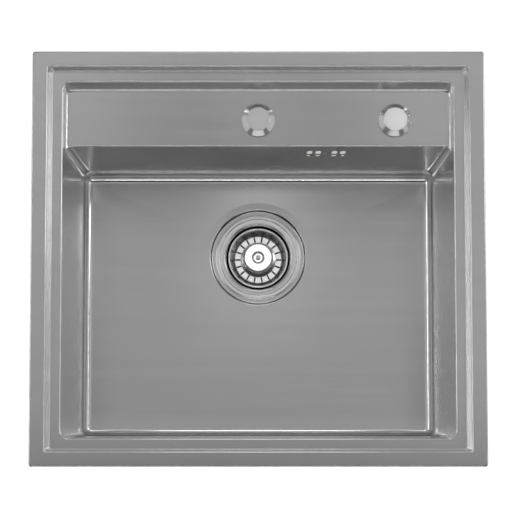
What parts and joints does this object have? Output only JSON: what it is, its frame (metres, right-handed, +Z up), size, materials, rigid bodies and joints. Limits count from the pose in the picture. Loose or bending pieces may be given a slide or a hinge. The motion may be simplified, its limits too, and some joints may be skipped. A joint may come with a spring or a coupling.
{
  "type": "kitchen sink",
  "caption": "Inset stainless kitchen sink with one square bowl, a recessed tap shelf with covered holes, a wall overflow and a lift-out basket strainer.",
  "frame": {"origin": "in the plane of the worktop's top, at the middle of the rim's outline", "axes": "+X to the right, +Y to the back where the tap stands, +Z up"},
  "size_m": [0.545, 0.5, 0.2986],
  "materials": {
    "satin_steel": "satin brushed stainless steel sheet",
    "polished_steel": "polished stainless steel",
    "chrome": "bright chrome",
    "black_rubber": "black rubber",
    "black_plastic": "moulded polypropylene",
    "pale_plastic": "pale moulded polypropylene",
    "zinc_plated_steel": "bright zinc plate",
    "seal_foam": "closed-cell foam",
    "sound_pad": "matt bitumen pad",
    "brass": "turned brass"
  },
  "bodies": {
    "sink": {"deck_frame": "satin_steel", "tap_shelf": "satin_steel", "bowl": "satin_steel", "strainer_cup": "polished_steel", "overflow_screw": "chrome", "centre_screw": "chrome", "flange_gasket": "black_rubber", "lower_gasket": "black_rubber", "overflow_gasket": "black_rubber", "upper_pipe_washer": "black_rubber", "lower_pipe_washer": "black_rubber", "waste_body": "black_plastic", "upper_pipe_nut": "black_plastic", "lower_pipe_nut": "black_plastic", "overflow_pipe": "black_plastic", "clamp_brackets": "zinc_plated_steel", "clamp_screws": "zinc_plated_steel", "overflow_housing": "pale_plastic", "rim_seal": "seal_foam", "side_pads": "sound_pad", "front_pad": "sound_pad", "floor_pad": "sound_pad", "waste_insert": "brass"},
    "basket": {"basket": "polished_steel", "basket_seal": "black_rubber", "basket_post": "chrome", "basket_knob": "chrome", "knob_screw": "chrome"},
    "tap_hole_cap": {"tap_hole_cover": "chrome", "tap_hole_gasket": "black_rubber", "tap_hole_grip_ring": "black_rubber", "tap_hole_plug": "black_plastic", "tap_hole_screw": "zinc_plated_steel"},
    "side_hole_cap": {"side_hole_cover": "chrome", "side_hole_gasket": "black_rubber", "side_hole_grip_ring": "black_rubber", "side_hole_plug": "black_plastic", "side_hole_screw": "zinc_plated_steel"},
    "clamp_1": {"clamp_arm_1": "zinc_plated_steel"},
    "clamp_2": {"clamp_arm_2": "zinc_plated_steel"},
    "clamp_3": {"clamp_arm_3": "zinc_plated_steel"},
    "clamp_4": {"clamp_arm_4": "zinc_plated_steel"},
    "clamp_5": {"clamp_arm_5": "zinc_plated_steel"},
    "clamp_6": {"clamp_arm_6": "zinc_plated_steel"},
    "clamp_7": {"clamp_arm_7": "zinc_plated_steel"},
    "clamp_8": {"clamp_arm_8": "zinc_plated_steel"}
  },
  "joints": [
    {"name": "basket_lift", "type": "slide", "parent": "sink", "child": "basket", "axis": [0, 0, 1], "range_m": [0, 0.06]},
    {"name": "tap_hole_cap_lift", "type": "slide", "parent": "sink", "child": "tap_hole_cap", "axis": [0, 0, 1], "range_m": [0, 0.03]},
    {"name": "side_hole_cap_lift", "type": "slide", "parent": "sink", "child": "side_hole_cap", "axis": [0, 0, 1], "range_m": [0, 0.03]},
    {"name": "clamp_1_swing", "type": "hinge", "parent": "sink", "child": "clamp_1", "pos_m": [0.2447, -0.15, -0.0563], "axis": [0, 0, 1], "range_deg": [-90, 90]},
    {"name": "clamp_2_swing", "type": "hinge", "parent": "sink", "child": "clamp_2", "pos_m": [0.2447, 0.085, -0.0563], "axis": [0, 0, 1], "range_deg": [-90, 90]},
    {"name": "clamp_3_swing", "type": "hinge", "parent": "sink", "child": "clamp_3", "pos_m": [-0.2447, -0.15, -0.0563], "axis": [0, 0, 1], "range_deg": [-90, 90]},
    {"name": "clamp_4_swing", "type": "hinge", "parent": "sink", "child": "clamp_4", "pos_m": [-0.2447, 0.085, -0.0563], "axis": [0, 0, 1], "range_deg": [-90, 90]},
    {"name": "clamp_5_swing", "type": "hinge", "parent": "sink", "child": "clamp_5", "pos_m": [-0.13, 0.2241, -0.0563], "axis": [0, 0, 1], "range_deg": [-90, 90]},
    {"name": "clamp_6_swing", "type": "hinge", "parent": "sink", "child": "clamp_6", "pos_m": [0.13, 0.2241, -0.0563], "axis": [0, 0, 1], "range_deg": [-90, 90]},
    {"name": "clamp_7_swing", "type": "hinge", "parent": "sink", "child": "clamp_7", "pos_m": [-0.13, -0.2241, -0.0563], "axis": [0, 0, 1], "range_deg": [-90, 90]},
    {"name": "clamp_8_swing", "type": "hinge", "parent": "sink", "child": "clamp_8", "pos_m": [0.13, -0.2241, -0.0563], "axis": [0, 0, 1], "range_deg": [-90, 90]}
  ]
}
